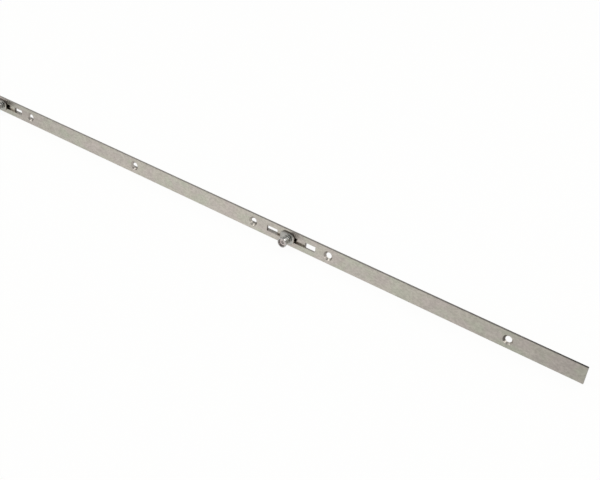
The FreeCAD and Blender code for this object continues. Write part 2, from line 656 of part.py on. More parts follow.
def rack_tooth(x):
    """One rack tooth with straight flanks, in outline from left to right."""
    slope = math.tan(math.radians(PRESSURE_ANGLE))
    half = (TOOTH_PITCH / 2 - TOOTH_BACKLASH) / 2
    depth = PINION_ADDENDUM + TOOTH_TIP_GAP
    foot_half = half + depth * slope
    tip_half = half - RACK_ADDENDUM * slope
    foot_y = RACK_PITCH_Y - depth
    tip_y = RACK_PITCH_Y + RACK_ADDENDUM
    return [(x - foot_half, foot_y), (x - tip_half, tip_y), (x + tip_half, tip_y), (x + foot_half, foot_y)]


def rack_slide():
    """The flat slide: a long bar with a hook at each end and a rack in the middle."""
    bar_y0 = ROD_BACK_Y + SLIDE_CLEARANCE
    bar_y1 = bar_y0 + SLIDE_BAR_DEPTH
    low_x = lower_hook_x() - HOOK_LENGTH / 2 - SLIDE_END
    high_x = upper_hook_x() + HOOK_LENGTH / 2 + SLIDE_END
    bar = block(low_x, high_x, bar_y0, bar_y1, SLIDE_LOW_Z, SLIDE_TOP_Z)
    outline = [(-RACK_BODY_LENGTH / 2, bar_y0 + SLIDE_BAR_DEPTH / 2)]
    foot_y = RACK_PITCH_Y - PINION_ADDENDUM - TOOTH_TIP_GAP
    outline.append((-RACK_BODY_LENGTH / 2, foot_y))
    for k in range(RACK_TEETH):
        outline += rack_tooth((k - (RACK_TEETH - 1) / 2) * TOOTH_PITCH)
    outline.append((RACK_BODY_LENGTH / 2, foot_y))
    outline.append((RACK_BODY_LENGTH / 2, bar_y0 + SLIDE_BAR_DEPTH / 2))
    rack = plate_from(outline, SLIDE_LOW_Z, SLIDE_TOP_Z)
    hooks = []
    for x in (lower_hook_x(), upper_hook_x()):
        hooks.append(block(x - HOOK_LENGTH / 2, x + HOOK_LENGTH / 2, ROD_FRONT_Y, bar_y1,
                           SLIDE_LOW_Z, SLIDE_TOP_Z))
    return fuse_all([bar, rack] + hooks)


def latch_rear_y():
    """The back of the latch's block at rest."""
    return FRONT_Y - LATCH_NOSE + LATCH_BODY_DEPTH


def latch_guide_y():
    """The front of the bracket that guides the latch's tail."""
    return latch_rear_y() + SPRING_LENGTH


def latch_body():
    """The roller latch's block, forked at the nose, with a round tail behind."""
    nose_y = FRONT_Y - LATCH_NOSE
    low_x = LATCH_X - LATCH_WIDTH / 2
    high_x = LATCH_X + LATCH_WIDTH / 2
    body = block(low_x, high_x, nose_y, latch_rear_y(), -HALF_BOLT, HALF_BOLT)
    roller_y = FRONT_Y - LATCH_ROLLER_OUT
    reach = LATCH_ROLLER_RADIUS + OPENING_CLEARANCE
    gap = block(low_x + LATCH_CHEEK, high_x - LATCH_CHEEK, nose_y - 1, roller_y + reach,
                -HALF_BOLT - 1, HALF_BOLT + 1)
    cheeks = []
    for x0 in (low_x, high_x - LATCH_CHEEK):
        ear = round_x(HALF_BOLT - DEADBOLT_EDGE, x0, x0 + LATCH_CHEEK, roller_y)
        neck = block(x0, x0 + LATCH_CHEEK, roller_y, nose_y + LATCH_NOSE,
                     -HALF_BOLT + DEADBOLT_EDGE, HALF_BOLT - DEADBOLT_EDGE)
        cheeks += [ear, neck]
    tail_end = latch_guide_y() + LATCH_GUIDE_THICKNESS + LATCH_TAIL_END
    tail = round_y(LATCH_TAIL_RADIUS, latch_rear_y() - 1, tail_end, LATCH_X)
    bore = round_x(LATCH_PIN_RADIUS + SEAT_CLEARANCE, low_x - 1, high_x + 1, roller_y)
    return cut_all(fuse_all([body.cut(gap)] + cheeks + [tail]), [bore])


def latch_pin():
    """The axle of the latch's roller."""
    return round_x(LATCH_PIN_RADIUS, LATCH_X - LATCH_WIDTH / 2, LATCH_X + LATCH_WIDTH / 2,
                   FRONT_Y - LATCH_ROLLER_OUT)


def latch_roller():
    """The latch's roller, free on its axle between the two cheeks."""
    half = LATCH_WIDTH / 2 - LATCH_CHEEK - ROLLER_END_GAP
    y = FRONT_Y - LATCH_ROLLER_OUT
    drum = round_x(LATCH_ROLLER_RADIUS, LATCH_X - half, LATCH_X + half, y)
    drum = drum.makeChamfer(PIN_HEAD_EDGE, [e for e in drum.Edges if isinstance(e.Curve, Part.Circle)])
    return drum.cut(round_x(LATCH_PIN_RADIUS + SHAFT_CLEARANCE, LATCH_X - half - 1, LATCH_X + half + 1, y))


def latch_clip():
    """The clip that keeps the latch's tail from leaving its bracket."""
    low_y = latch_guide_y() + LATCH_GUIDE_THICKNESS + SLIDE_CLEARANCE
    disc = round_y(LATCH_CLIP_RADIUS, low_y, low_y + LATCH_CLIP_THICKNESS, LATCH_X)
    bore = round_y(LATCH_TAIL_RADIUS + SEAT_CLEARANCE, low_y - 1, low_y + LATCH_CLIP_THICKNESS + 1, LATCH_X)
    return disc.cut(bore)


def latch_guide():
    """The bracket across the case that guides the latch's tail and backs its spring."""
    low_y = latch_guide_y()
    high_y = low_y + LATCH_GUIDE_THICKNESS
    half = LATCH_WIDTH / 2
    plate = block(LATCH_X - half, LATCH_X + half, low_y, high_y, -INNER_HALF, INNER_HALF)
    return plate.cut(round_y(LATCH_TAIL_RADIUS + SHAFT_CLEARANCE, low_y - 1, high_y + 1, LATCH_X))


def latch_spring():
    """A coil spring round the latch's tail, between the block and the bracket."""
    room = SPRING_LENGTH - 2 * SPRING_WIRE_RADIUS - 2 * SLIDE_CLEARANCE
    pitch = room / SPRING_TURNS
    path = Part.makeHelix(pitch, room, SPRING_RADIUS)
    section = Part.Wire(Part.Circle(V(SPRING_RADIUS, 0, 0), V(0, 1, 0), SPRING_WIRE_RADIUS).toShape())
    coil = Part.Wire(path.Edges).makePipeShell([section], True, True)
    coil.rotate(V(0, 0, 0), V(1, 0, 0), -90)
    coil.translate(V(LATCH_X, latch_rear_y() + SPRING_WIRE_RADIUS + SLIDE_CLEARANCE, 0))
    return Part.Solid(coil) if not coil.Solids else coil.Solids[0]


def deadbolt():
    """The deadbolt: a thick plate with a guide slot and a notch for the key's cam."""
    low_x = DEADBOLT_X - DEADBOLT_WIDTH / 2
    high_x = DEADBOLT_X + DEADBOLT_WIDTH / 2
    front = FRONT_Y + DEADBOLT_INSET
    body = block(low_x, high_x, front, DEADBOLT_REAR_Y, -HALF_BOLT, HALF_BOLT)
    nose = [e for e in body.Edges if abs(e.CenterOfMass.y - front) < 1e-6]
    body = body.makeChamfer(DEADBOLT_EDGE, nose)
    slot_half = DEADBOLT_POST_RADIUS + SLIDE_CLEARANCE
    slot_low = DEADBOLT_POST_Y - slot_half - SLIDE_CLEARANCE
    slot_high = DEADBOLT_POST_Y + slot_half + DEADBOLT_THROW + SLIDE_CLEARANCE
    slot = block(DEADBOLT_POST_X - slot_half, DEADBOLT_POST_X + slot_half, slot_low, slot_high,
                 -HALF_BOLT - 1, HALF_BOLT + 1)
    notch_x = CYLINDER_X + CYLINDER_CAM_REACH + OPENING_CLEARANCE
    half = DEADBOLT_NOTCH_WIDTH / 2
    notch = block(low_x - 1, notch_x, -half, half, -HALF_BOLT - 1, HALF_BOLT + 1)
    return cut_all(body, [slot, notch])


def deadbolt_post():
    """The post under the cover that guides the deadbolt in its slot."""
    low_z = SLIDE_TOP_Z + 2 * SLIDE_CLEARANCE
    return round_z(DEADBOLT_POST_RADIUS, low_z, INNER_HALF, DEADBOLT_POST_X, DEADBOLT_POST_Y)


def brake_spring():
    """A bowed leaf spring on the handle bush's side that drags on the deadbolt's edge."""
    edge_x = DEADBOLT_X + DEADBOLT_WIDTH / 2 + SLIDE_CLEARANCE
    low_y = BRAKE_Y - BRAKE_SPAN / 2
    high_y = BRAKE_Y + BRAKE_SPAN / 2
    inner = Part.Arc(V(edge_x + BRAKE_RISE, low_y, 0), V(edge_x, BRAKE_Y, 0),
                     V(edge_x + BRAKE_RISE, high_y, 0)).toShape()
    far = edge_x + BRAKE_STRIP
    outer = Part.Arc(V(far + BRAKE_RISE, high_y, 0), V(far, BRAKE_Y, 0),
                     V(far + BRAKE_RISE, low_y, 0)).toShape()
    ends = [Part.makeLine(V(edge_x + BRAKE_RISE, high_y, 0), V(far + BRAKE_RISE, high_y, 0)),
            Part.makeLine(V(far + BRAKE_RISE, low_y, 0), V(edge_x + BRAKE_RISE, low_y, 0))]
    wire = Part.Wire([inner, ends[0], outer, ends[1]])
    strip = Part.Face(wire).extrude(V(0, 0, BOLT_THICKNESS))
    strip.translate(V(0, 0, -HALF_BOLT))
    return strip


def brake_studs():
    """Two studs between the side plates that hold the ends of the brake spring."""
    edge_x = DEADBOLT_X + DEADBOLT_WIDTH / 2 + SLIDE_CLEARANCE
    radius = RIVET_RADIUS
    x = edge_x + BRAKE_RISE + BRAKE_STRIP + radius + SLIDE_CLEARANCE
    studs = [round_z(radius, -INNER_HALF, INNER_HALF, x, BRAKE_Y + side * (BRAKE_SPAN / 2 - radius))
             for side in (-1, 1)]
    return Part.makeCompound(studs)


def save(name, shape):
    """Write one named piece and report its solids and volume."""
    solids = shape.Solids
    good = all(s.isValid() for s in solids)
    result = Part.makeCompound(solids) if len(solids) > 1 else solids[0]
    result.exportStep(os.path.join("parts", name + ".step"))
    print(f"{name}: {len(solids)} solids, {shape.Volume:.1f} mm3, valid {good}")


def main():
    """Build every piece of the lock and write it."""
    os.makedirs("parts", exist_ok=True)
    pieces = {
        "faceplate": faceplate(),
        "rod_guides": rod_guides(),
        "upper_rod": upper_rod(),
        "lower_rod": lower_rod(),
        "rack_slide": rack_slide(),
        "guide_shoes": guide_shoes(),
        "pin_washers": pin_washers(),
        "case_tray": case_tray(),
        "case_cover": case_cover(),
        "case_posts": case_posts(),
        "case_rivets": case_rivets(),
        "mounting_blocks": mounting_blocks(),
        "case_screws": case_screws(),
        "handle_bushes": handle_bushes(),
        "follower": follower(),
        "latch_body": latch_body(),
        "latch_pin": latch_pin(),
        "latch_roller": latch_roller(),
        "latch_clip": latch_clip(),
        "latch_guide": latch_guide(),
        "latch_spring": latch_spring(),
        "deadbolt": deadbolt(),
        "deadbolt_post": deadbolt_post(),
        "brake_spring": brake_spring(),
        "brake_studs": brake_studs(),
    }
    for number, pivot_x in enumerate(CAM_PIVOTS, start=1):
        pieces[f"cam_pin_{number}"] = cam_pin(pivot_x)
        pieces[f"cam_roller_{number}"] = cam_roller(pivot_x)
    for name, shape in pieces.items():
        save(name, shape)


main()
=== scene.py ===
"""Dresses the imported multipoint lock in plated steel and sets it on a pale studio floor.

The frame has X along the faceplate, Y into the door and Z across the door's thickness. Lengths
are in metres, and in millimetres where a name ends in _mm or a class says so.
"""

import logging
import math
from dataclasses import dataclass
from enum import Enum

import bmesh
import bpy
import numpy as np
from mathutils import Matrix, Vector


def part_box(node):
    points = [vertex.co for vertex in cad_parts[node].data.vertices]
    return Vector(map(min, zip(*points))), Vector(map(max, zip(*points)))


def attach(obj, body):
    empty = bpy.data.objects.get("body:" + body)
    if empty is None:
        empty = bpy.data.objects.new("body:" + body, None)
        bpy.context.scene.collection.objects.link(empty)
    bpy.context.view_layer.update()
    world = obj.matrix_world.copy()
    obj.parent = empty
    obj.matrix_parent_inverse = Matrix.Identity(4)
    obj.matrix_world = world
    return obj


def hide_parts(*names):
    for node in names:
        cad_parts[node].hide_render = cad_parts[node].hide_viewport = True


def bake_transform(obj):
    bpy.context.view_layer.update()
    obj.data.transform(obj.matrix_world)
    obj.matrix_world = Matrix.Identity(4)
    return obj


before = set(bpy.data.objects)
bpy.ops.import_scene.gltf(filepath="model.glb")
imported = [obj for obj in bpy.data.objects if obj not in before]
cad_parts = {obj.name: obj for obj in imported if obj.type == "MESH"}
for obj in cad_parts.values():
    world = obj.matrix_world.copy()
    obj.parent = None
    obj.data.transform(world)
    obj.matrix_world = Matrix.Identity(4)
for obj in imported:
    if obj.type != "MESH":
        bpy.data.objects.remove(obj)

logging.basicConfig(level=logging.INFO, format="%(name)s: %(message)s")
log = logging.getLogger("lock")

Colour = tuple[float, float, float]
Point = tuple[float, float, float]
Span = tuple[float, float]

MM = 0.001
CAM_NUMBERS = (1, 2, 3)
CAD_MERGE_REACH = 2e-6
CAD_FLAT_DEGREES = 0.6
TURNED_MERGE_REACH = 1e-7
SHORTEST_SIDE = 1e-9
SAME_ROW = 1e-6


class Body(Enum):
    """The moving groups of the lock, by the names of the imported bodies."""

    CASE = "lock_case"
    DRIVE = "drive"
    FOLLOWER = "follower"
    LATCH = "latch"
    LATCH_ROLLER = "latch_roller"
    DEADBOLT = "deadbolt"


@dataclass(frozen=True)
class Pattern:
    """A noise: its repeats for each size along X, Y and Z, its shift and its octaves."""

    repeats: Point
    offset: float
    detail: float


FIRST_CLOUD = Pattern((0.55, 1.0, 1.0), 0.0, 3.0)
SECOND_CLOUD = Pattern((0.8, 1.3, 1.3), 7.3, 2.0)
MOTTLE = Pattern((0.6, 1.0, 1.0), 3.1, 4.0)
WEAR = Pattern((1.7, 2.1, 2.1), 11.0, 4.0)
OFFSET_SHARES = (1.0, 0.7, 1.3)
OCTAVE_ROUGHNESS = 0.55
NOISE_MIDDLE = (0.30, 0.70)
CLOUD_EDGE = (0.42, 0.62)


class Grain(Enum):
    """Which way the fine marks of a metal surface run."""

    ROLLED = Pattern((0.04, 1.0, 1.0), 5.0, 2.0)
    TURNED = Pattern((0.0, 1.0, 0.0), 5.0, 2.0)
    PLAIN = Pattern((1.0, 1.0, 1.0), 5.0, 2.0)


@dataclass(frozen=True)
class PaintedLight:
    """Painted light and shade along X: places in millimetres, each with its share of the full tone.
    """

    stops: tuple[tuple[float, float], ...]


def about(middle: float, spread: float) -> Span:
    """The two ends of a range about its middle."""
    return middle - spread, middle + spread


def empty_tree(owner: bpy.types.Material | bpy.types.World) -> bpy.types.NodeTree:
    """Switches a material's or world's nodes on and takes the default ones out.

    Args:
        owner: The material or world.

    Returns:
        Its empty node tree.
    """
    owner.use_nodes = True
    owner.node_tree.nodes.clear()
    return owner.node_tree


@dataclass(frozen=True)
class Plating:
    """A zinc or nickel plated steel finish with cloudy passivation colours."""

    name: str
    base: Colour
    cloud_a: Colour
    cloud_b: Colour
    cloud_size_mm: float = 16.0
    cloud_amount: float = 0.5
    mottle_size_mm: float = 1.6
    mottle_amount: float = 0.10
    roughness: float = 0.36
    roughness_spread: float = 0.10
    grain: Grain = Grain.ROLLED
    grain_size_mm: float = 0.16
    grain_depth_mm: float = 0.0012
    # Painted light and shade along X, multiplied into the colour, or none.
    painted_light: PaintedLight | None = None

    def build(self) -> bpy.types.Material:
        """Makes the material.

        Colour: base, drawn towards two passivation tints by two slow noises, then lightened and
        darkened by a fast one and by painted light and shade along X. Roughness: the middle
        value plus a spread times another noise. Height: a fine noise squeezed along the grain's
        direction.

        Returns:
            The material, with every pattern on Object coordinates.
        """
        material = bpy.data.materials.new(self.name)
        tree = empty_tree(material)
        output = tree.nodes.new("ShaderNodeOutputMaterial")
        shader = tree.nodes.new("ShaderNodeBsdfPrincipled")
        shader.inputs["Metallic"].default_value = 1.0
        tree.links.new(shader.outputs["BSDF"], output.inputs["Surface"])
        place = tree.nodes.new("ShaderNodeTexCoord").outputs["Object"]
        first = self._noise(tree, place, self.cloud_size_mm, FIRST_CLOUD)
        second = self._noise(tree, place, self.cloud_size_mm, SECOND_CLOUD)
        mottle = self._noise(tree, place, self.mottle_size_mm, MOTTLE)
        wear = self._noise(tree, place, self.cloud_size_mm, WEAR)
        colour = self._tint(tree, self.base, self.cloud_a, first)
        colour = self._tint(tree, colour, self.cloud_b, second)
        spots = self._range(tree, mottle, NOISE_MIDDLE, about(1.0, self.mottle_amount))
        colour = self._shade(tree, colour, spots)
        # Painted light and shade: the colour is scaled by a factor that changes along X.
        if self.painted_light is not None:
            colour = self._shade(tree, colour, self._painted_light_factor(tree, place, self.painted_light))
        rough = self._range(
            tree, wear, NOISE_MIDDLE, about(self.roughness, self.roughness_spread),
        )
        tree.links.new(colour, shader.inputs["Base Color"])
        tree.links.new(rough, shader.inputs["Roughness"])
        tree.links.new(self._relief(tree, place), shader.inputs["Normal"])
        return material

    @staticmethod
    def _noise(
        tree: bpy.types.NodeTree,
        place: bpy.types.NodeSocket,
        size_mm: float,
        pattern: Pattern,
    ) -> bpy.types.NodeSocket:
        """A noise over the object's own space.

        Args:
            tree: The material's nodes.
            place: The Object coordinate.
            size_mm: The length that one repeat of the pattern takes where its share is 1.
            pattern: The pattern.

        Returns:
            The noise's value, 0 to 1.
        """
        repeats = 1.0 / (size_mm * MM)
        mapping = tree.nodes.new("ShaderNodeMapping")
        mapping.inputs["Scale"].default_value = [repeats * share for share in pattern.repeats]
        mapping.inputs["Location"].default_value = [
            pattern.offset * share for share in OFFSET_SHARES
        ]
        noise = tree.nodes.new("ShaderNodeTexNoise")
        noise.inputs["Scale"].default_value = 1.0
        noise.inputs["Detail"].default_value = pattern.detail
        noise.inputs["Roughness"].default_value = OCTAVE_ROUGHNESS
        tree.links.new(place, mapping.inputs["Vector"])
        tree.links.new(mapping.outputs["Vector"], noise.inputs["Vector"])
        return noise.outputs["Fac"]

    @staticmethod
    def _range(
        tree: bpy.types.NodeTree,
        value: bpy.types.NodeSocket,
        span: Span,
        result: Span,
    ) -> bpy.types.NodeSocket:
        """Maps a value from one range to another, smoothly and within the ends.

        Args:
            tree: The material's nodes.
            value: The value to map.
            span: Start and end of its range.
            result: The results there.

        Returns:
            The mapped value.
        """
        node = tree.nodes.new("ShaderNodeMapRange")
        node.interpolation_type = "SMOOTHSTEP"
        node.inputs["From Min"].default_value = span[0]
        node.inputs["From Max"].default_value = span[1]
        node.inputs["To Min"].default_value = result[0]
        node.inputs["To Max"].default_value = result[1]
        tree.links.new(value, node.inputs["Value"])
        return node.outputs["Result"]

    def _tint(
        self,
        tree: bpy.types.NodeTree,
        colour: bpy.types.NodeSocket | Colour,
        tint: Colour,
        noise: bpy.types.NodeSocket,
    ) -> bpy.types.NodeSocket:
        """Draws a colour towards a tint where a noise is high.

        Args:
            tree: The material's nodes.
            colour: The colour so far, from a node or as a plain one.
            tint: The colour of the cloud.
            noise: Where the cloud lies.

        Returns:
            The mixed colour.
        """
        mix = tree.nodes.new("ShaderNodeMix")
        mix.data_type = "RGBA"
        where = self._range(tree, noise, CLOUD_EDGE, (0.0, self.cloud_amount))
        tree.links.new(where, mix.inputs["Factor"])
        if isinstance(colour, bpy.types.NodeSocket):
            tree.links.new(colour, mix.inputs["A"])
        else:
            mix.inputs["A"].default_value = (*colour, 1.0)
        mix.inputs["B"].default_value = (*tint, 1.0)
        return mix.outputs["Result"]

    @staticmethod
    def _shade(
        tree: bpy.types.NodeTree,
        colour: bpy.types.NodeSocket,
        factor: bpy.types.NodeSocket,
    ) -> bpy.types.NodeSocket:
        """Makes a colour lighter and darker by a factor.

        Args:
            tree: The material's nodes.
            colour: The colour to change.
            factor: What it is multiplied by.

        Returns:
            The changed colour.
        """
        scale = tree.nodes.new("ShaderNodeVectorMath")
        scale.operation = "SCALE"
        tree.links.new(colour, scale.inputs[0])
        tree.links.new(factor, scale.inputs["Scale"])
        return scale.outputs["Vector"]

    @staticmethod
    def _painted_light_factor(
        tree: bpy.types.NodeTree,
        place: bpy.types.NodeSocket,
        painted_light: PaintedLight,
    ) -> bpy.types.NodeSocket:
        """The factor of the painted light and shade, straight between its stops and level beyond
        the outer ones.

        Args:
            tree: The material's nodes.
            place: The Object coordinate.
            painted_light: The painted light and shade along X.

        Returns:
            The factor.
        """
        split = tree.nodes.new("ShaderNodeSeparateXYZ")
        tree.links.new(place, split.inputs["Vector"])
        first, last = painted_light.stops[0][0], painted_light.stops[-1][0]
        along = tree.nodes.new("ShaderNodeMapRange")
        along.inputs["From Min"].default_value = first * MM
        along.inputs["From Max"].default_value = last * MM
        tree.links.new(split.outputs["X"], along.inputs["Value"])
        ramp = tree.nodes.new("ShaderNodeValToRGB")
        marks = ramp.color_ramp.elements
        for mark, (_, share) in zip(marks, (painted_light.stops[0], painted_light.stops[-1])):
            mark.color = (share, share, share, 1.0)
        for mark_mm, share in painted_light.stops[1:-1]:
            marks.new((mark_mm - first) / (last - first)).color = (share, share, share, 1.0)
        tree.links.new(along.outputs["Result"], ramp.inputs["Fac"])
        return ramp.outputs["Color"]

    def _relief(
        self,
        tree: bpy.types.NodeTree,
        place: bpy.types.NodeSocket,
    ) -> bpy.types.NodeSocket:
        """Fine marks along the grain.

        Args:
            tree: The material's nodes.
            place: The Object coordinate.

        Returns:
            The bumped normal.
        """
        height = self._noise(tree, place, self.grain_size_mm, self.grain.value)
        bump = tree.nodes.new("ShaderNodeBump")
        bump.inputs["Strength"].default_value = 1.0
        bump.inputs["Distance"].default_value = self.grain_depth_mm * MM
        tree.links.new(height, bump.inputs["Height"])
        return bump.outputs["Normal"]


# Painted light and shade along X: the face is lightest near 520 mm, and all three are darker
# towards the right end.
FACE_PAINTED_LIGHT = PaintedLight((
    (214.0, 0.80), (300.0, 0.90), (400.0, 0.97), (520.0, 1.0), (640.0, 0.97), (760.0, 0.88),
    (830.0, 0.80), (890.0, 0.71),
))
EDGE_PAINTED_LIGHT = PaintedLight((
    (214.0, 0.93), (293.0, 0.93), (345.0, 0.84), (500.0, 0.835), (560.0, 0.785), (690.0, 0.785),
    (742.0, 0.68), (790.0, 0.55), (842.0, 0.36), (867.0, 0.20), (890.0, 0.08),
))
SINK_PAINTED_SHADE = PaintedLight(((214.0, 1.0), (600.0, 1.0), (651.0, 0.75), (825.0, 0.35), (890.0, 0.30)))

FACE_ZINC = Plating(
    "face_zinc", (0.515, 0.485, 0.425), (0.475, 0.505, 0.405), (0.525, 0.46, 0.44),
    cloud_amount=0.5, painted_light=FACE_PAINTED_LIGHT,
)
EDGE_ZINC = Plating(
    "sheared_edge_zinc", (0.46, 0.43, 0.385), (0.42, 0.41, 0.36), (0.47, 0.42, 0.40),
    cloud_size_mm=9.0, roughness=0.38, grain_size_mm=0.3, grain_depth_mm=0.001, mottle_amount=0.08,
    painted_light=EDGE_PAINTED_LIGHT,
)
# Painted shade: a near-black plating, much darker than the zinc, for faces that sit in shade.
SHADED_SIDE_ZINC = Plating(
    "shaded_side_zinc", (0.15, 0.135, 0.12), (0.13, 0.125, 0.105), (0.16, 0.14, 0.13),
    cloud_size_mm=6.0, roughness=0.30, roughness_spread=0.05, grain=Grain.PLAIN,
)
PUNCHED_ZINC = Plating(
    "punched_wall_zinc", (0.46, 0.425, 0.375), (0.43, 0.41, 0.355), (0.47, 0.42, 0.385),
    cloud_size_mm=6.0, roughness=0.36, grain_size_mm=0.3, grain_depth_mm=0.001, mottle_amount=0.08,
)
# Painted shade: the long edges' breaks get a dark, rough plating, darker than the metal, so that
# they catch no lamp glint.
SHADED_BREAK_ZINC = Plating(
    "shaded_break_zinc", (0.27, 0.25, 0.225), (0.25, 0.24, 0.21), (0.28, 0.25, 0.23),
    cloud_size_mm=8.0, roughness=0.62, grain_size_mm=0.3, grain_depth_mm=0.001,
)
# Painted shade: the sink flanks that look towards +X are plated darker than the face, and darker
# still towards the right end.
SHADED_SINK_ZINC = Plating(
    "shaded_sink_flank_zinc", (0.38, 0.35, 0.31), (0.35, 0.34, 0.29), (0.39, 0.345, 0.32),
    cloud_size_mm=6.0, roughness=0.36, grain_size_mm=0.3, grain_depth_mm=0.001, mottle_amount=0.08,
    painted_light=SINK_PAINTED_SHADE,
)
ROD_ZINC = Plating(
    "rod_zinc", (0.48, 0.45, 0.40), (0.44, 0.44, 0.36), (0.50, 0.43, 0.41), roughness=0.22,
    roughness_spread=0.06,
)
CAM_ZINC = Plating(
    "turned_cam_zinc", (0.46, 0.45, 0.43), (0.43, 0.44, 0.41), (0.47, 0.435, 0.42),
    cloud_size_mm=5.0, cloud_amount=0.35, roughness=0.20, roughness_spread=0.05,
    grain=Grain.TURNED, grain_size_mm=0.12, grain_depth_mm=0.0015,
)
# Painted shade: the walls of the head's recess and socket are plated darker than the rest of the
# cam.
SHADED_CAM_BORE_ZINC = Plating(
    "shaded_cam_bore_zinc", (0.30, 0.29, 0.285), (0.28, 0.28, 0.27), (0.31, 0.28, 0.27),
    cloud_size_mm=3.0, roughness=0.34, roughness_spread=0.05, grain=Grain.PLAIN,
)
CAM_FLOOR_ZINC = Plating(
    "cam_floor_zinc", (0.58, 0.52, 0.49), (0.56, 0.53, 0.49), (0.60, 0.50, 0.48),
    cloud_size_mm=3.0, roughness=0.30, roughness_spread=0.05, grain=Grain.TURNED,
    grain_size_mm=0.12, grain_depth_mm=0.0015,
)
ROLLER_ZINC = Plating(
    "turned_roller_zinc", (0.42, 0.42, 0.395), (0.40, 0.425, 0.38), (0.44, 0.41, 0.40),
    cloud_size_mm=5.0, cloud_amount=0.35, roughness=0.30, roughness_spread=0.04,
    grain=Grain.TURNED, grain_size_mm=0.12, grain_depth_mm=0.0015,
)
TREAD_ZINC = Plating(
    "roller_tread_zinc", (0.40, 0.40, 0.375), (0.38, 0.405, 0.36), (0.42, 0.39, 0.38),
    cloud_size_mm=5.0, cloud_amount=0.35, roughness=0.46, roughness_spread=0.04,
    grain=Grain.TURNED, grain_size_mm=0.12, grain_depth_mm=0.0015,
)
SHOE_ZINC = Plating(
    "pressed_shoe_zinc", (0.41, 0.405, 0.375), (0.385, 0.40, 0.37), (0.42, 0.39, 0.37),
    cloud_size_mm=6.0, cloud_amount=0.35, roughness=0.28, grain=Grain.PLAIN,
)
CASE_ZINC = Plating(
    "case_sheet_zinc", (0.48, 0.46, 0.42), (0.45, 0.46, 0.39), (0.49, 0.44, 0.43),
    cloud_size_mm=22.0, roughness=0.38,
)
FASTENER_ZINC = Plating(
    "fastener_zinc", (0.42, 0.41, 0.38), (0.40, 0.41, 0.35), (0.44, 0.40, 0.38),
    cloud_size_mm=4.0, roughness=0.33, grain=Grain.PLAIN,
)
SINTERED_STEEL = Plating(
    "sintered_steel", (0.27, 0.26, 0.24), (0.24, 0.23, 0.21), (0.29, 0.28, 0.26),
    cloud_size_mm=5.0, roughness=0.52, grain=Grain.PLAIN, grain_size_mm=0.25, grain_depth_mm=0.008,
    mottle_size_mm=0.5, mottle_amount=0.18,
)
BOLT_NICKEL = Plating(
    "bolt_nickel", (0.56, 0.54, 0.50), (0.53, 0.51, 0.46), (0.58, 0.55, 0.52),
    cloud_size_mm=10.0, cloud_amount=0.3, roughness=0.22, roughness_spread=0.05,
)
SPRING_STEEL = Plating(
    "spring_steel", (0.34, 0.33, 0.31), (0.31, 0.30, 0.28), (0.36, 0.34, 0.32),
    cloud_size_mm=4.0, roughness=0.28, grain=Grain.PLAIN,
)


class Wardrobe:
    """Keeps one material for each finish, so that pieces share them."""

    def __init__(self) -> None:
        """Starts with no material made."""
        self._made: dict[str, bpy.types.Material] = {}

    def get(self, finish: Plating) -> bpy.types.Material:
        """The material of a finish, made at its first use.

        Args:
            finish: The finish.

        Returns:
            Its material.
        """
        if finish.name not in self._made:
            self._made[finish.name] = finish.build()
        return self._made[finish.name]


WARDROBE = Wardrobe()


def put_on(piece: bpy.types.Object, *finishes: Plating) -> None:
    """Gives a piece its finishes, one in each material slot.

    Args:
        piece: The object.
        finishes: The finishes in the order of the mesh's material indices.
    """
    slots = piece.data.materials
    slots.clear()
    for finish in finishes:
        slots.append(WARDROBE.get(finish))


def add_object(name: str, data: bpy.types.ID) -> bpy.types.Object:
    """Puts a new object in the scene.

    Args:
        name: The object's name.
        data: Its mesh, lamp or camera.

    Returns:
        The object.
    """
    new = bpy.data.objects.new(name, data)
    bpy.context.scene.collection.objects.link(new)
    return new


def ring_object(name: str, rings: np.ndarray, closed: bool) -> bpy.types.Object:
    """A surface from rings of points, each closed on itself and joined to the next.

    Point j of ring i makes one face with point j + 1 and with the same two of ring i + 1.

    Args:
        name: The object's name.
        rings: Rings, points of each and 3 coordinates, in metres.
        closed: Whether the last ring joins the first. If not, a flat face shuts each of them.

    Returns:
        The new object.
    """
    count, columns = rings.shape[:2]
    index = np.arange(count * columns).reshape(count, columns)
    index = np.column_stack([index, index[:, 0]])
    if closed:
        index = np.vstack([index, index[:1]])
    quads = np.stack([index[:-1, :-1], index[:-1, 1:], index[1:, 1:], index[1:, :-1]], axis=-1)
    faces = quads.reshape(-1, 4).tolist()
    if not closed:
        faces.append(np.arange(columns)[::-1].tolist())
        faces.append((np.arange(columns) + (count - 1) * columns).tolist())
    mesh = bpy.data.meshes.new(name)
    mesh.from_pydata(rings.reshape(-1, 3).tolist(), [], faces)
    mesh.validate()
    return add_object(name, mesh)


def face_outwards(piece: bpy.types.Object) -> None:
    """Turns every face of a closed piece outwards.

    Args:
        piece: The object.
    """
    work = bmesh.new()
    work.from_mesh(piece.data)
    bmesh.ops.remove_doubles(work, verts=work.verts, dist=TURNED_MERGE_REACH)
    bmesh.ops.recalc_face_normals(work, faces=work.faces)
    work.to_mesh(piece.data)
    work.free()


class Side(Enum):
    """What a face of a strip, rod or shoe is, by its material index."""

    FLAT = 0
    EDGE = 1
    # Faces that look towards +X; on the strip and the rods their finish is painted shade.
    END = 2
    WALL = 3
    BREAK = 4
    SINK = 5


# Painted shade: the shaded finishes here are darker than the metal and stand for shade on the +X
# faces, sink flanks and breaks of the strip and rods, and on the shoes' edges, walls and breaks.
STRIP_SIDES = (FACE_ZINC, EDGE_ZINC, SHADED_SIDE_ZINC, PUNCHED_ZINC, SHADED_BREAK_ZINC, SHADED_SINK_ZINC)
ROD_SIDES = (ROD_ZINC, EDGE_ZINC, SHADED_SIDE_ZINC, EDGE_ZINC, SHADED_BREAK_ZINC, SHADED_SIDE_ZINC)
SHOE_SIDES = (SHOE_ZINC, SHADED_SIDE_ZINC, PUNCHED_ZINC, SHADED_SIDE_ZINC, SHADED_BREAK_ZINC, PUNCHED_ZINC)


